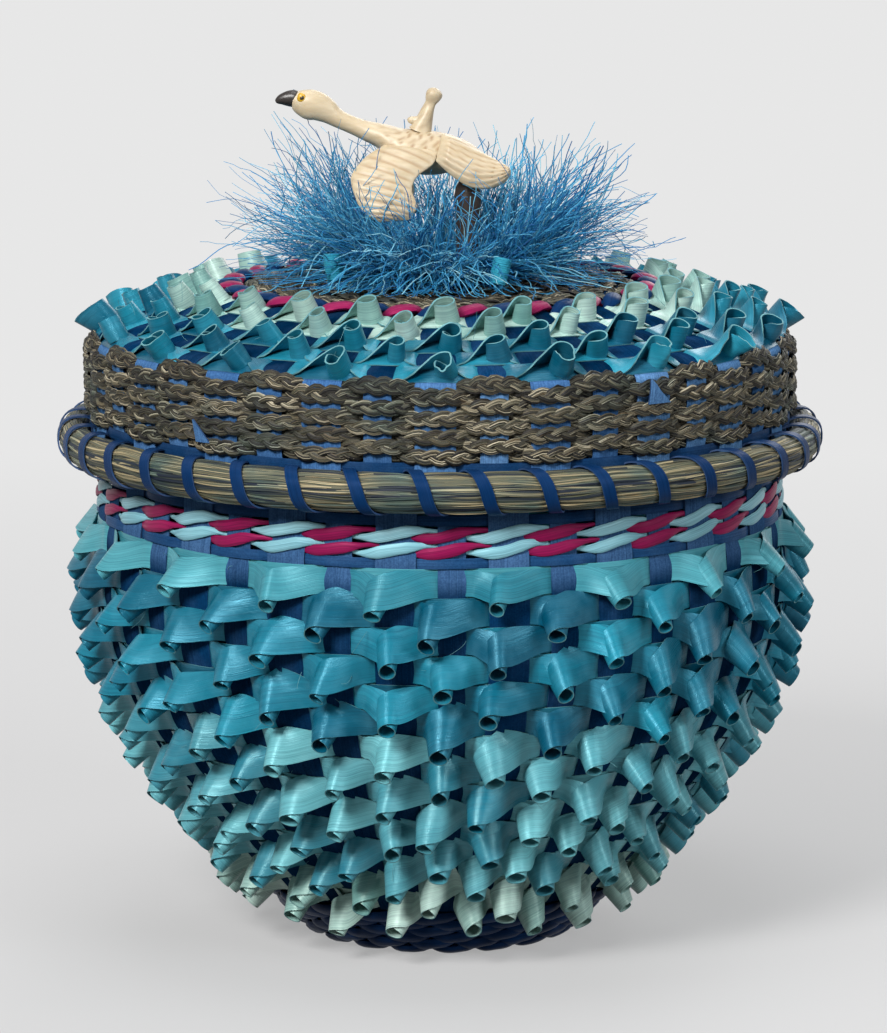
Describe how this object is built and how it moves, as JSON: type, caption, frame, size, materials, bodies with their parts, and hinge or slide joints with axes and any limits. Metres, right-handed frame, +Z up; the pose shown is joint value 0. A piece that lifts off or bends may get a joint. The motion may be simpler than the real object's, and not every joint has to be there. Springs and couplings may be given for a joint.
{
  "type": "lidded fancy basket",
  "caption": "Round lidded basket of dyed wood splints with curled weavers, a sweetgrass rim, a fibre fringe and a carved swan on the lid.",
  "frame": {"origin": "middle of the flat base, on the surface that the basket stands on", "axes": "+Z up along the basket's axis, -Y towards the front"},
  "size_m": [0.1908, 0.1908, 0.2107],
  "materials": {
    "stake_splint": "satin dyed ash splint",
    "navy_splint": "satin dyed ash splint",
    "teal_splint": "silky dyed ash splint",
    "pale_teal_splint": "silky dyed ash splint",
    "celadon_splint": "silky dyed ash splint",
    "burgundy_splint": "satin dyed ash splint",
    "aqua_splint": "satin dyed ash splint",
    "sweetgrass_braid": "dry braided grass",
    "sweetgrass_bundle": "dry bundled grass",
    "dyed_fibre": "matt loose fibre",
    "carved_bone": "polished carved bone",
    "dark_wood": "dark oiled wood"
  },
  "bodies": {
    "basket": {"base_disc": "navy_splint", "body_stakes_front": "stake_splint", "body_stakes_right": "stake_splint", "body_stakes_back": "stake_splint", "body_stakes_left": "stake_splint", "foot_twine_1": "navy_splint", "foot_twine_2": "navy_splint", "foot_twine_3": "navy_splint", "body_curl_row_01": "teal_splint", "body_curl_row_02": "teal_splint", "body_curl_row_03": "teal_splint", "body_curl_row_04": "teal_splint", "body_curl_row_05": "teal_splint", "body_curl_row_06": "teal_splint", "body_curl_row_07": "teal_splint", "body_curl_row_08": "pale_teal_splint", "body_curl_row_09": "pale_teal_splint", "body_curl_row_10": "pale_teal_splint", "body_curl_row_11": "pale_teal_splint", "body_curl_row_12": "pale_teal_splint", "body_curl_row_13": "pale_teal_splint", "body_curl_row_14": "pale_teal_splint", "body_curl_row_15": "pale_teal_splint", "neck_weaver_lower": "navy_splint", "neck_weaver_upper": "navy_splint", "neck_twine_lower_burgundy": "burgundy_splint", "neck_twine_lower_aqua": "aqua_splint", "neck_twine_upper_burgundy": "burgundy_splint", "neck_twine_upper_aqua": "aqua_splint", "collar_hoop_outer": "stake_splint", "collar_hoop_inner": "stake_splint"},
    "lid": {"lid_stakes_front": "stake_splint", "lid_stakes_right": "stake_splint", "lid_stakes_back": "stake_splint", "lid_stakes_left": "stake_splint", "lid_curl_row_1": "teal_splint", "lid_curl_row_2": "teal_splint", "lid_curl_row_3": "teal_splint", "lid_curl_row_4": "celadon_splint", "lid_curl_row_5": "celadon_splint", "lid_twine_navy": "navy_splint", "lid_twine_burgundy": "burgundy_splint", "lid_braid_1": "sweetgrass_braid", "lid_braid_2": "sweetgrass_braid", "lid_braid_3": "sweetgrass_braid", "lid_braid_4": "sweetgrass_braid", "lid_braid_5": "sweetgrass_braid", "lid_weaver": "navy_splint", "lid_hoop_outer": "sweetgrass_bundle", "lid_hoop_inner": "sweetgrass_bundle", "lid_hoop_lashing": "navy_splint", "lid_centre_braid": "sweetgrass_braid", "fringe_right": "dyed_fibre", "fringe_back": "dyed_fibre", "fringe_left": "dyed_fibre", "fringe_front": "dyed_fibre", "swan_carving": "carved_bone", "perch_post": "dark_wood", "carved_peg": "carved_bone"}
  },
  "joints": [
    {"name": "lid_lift", "type": "slide", "parent": "basket", "child": "lid", "axis": [0, 0, 1], "range_m": [0, 0.08]}
  ]
}
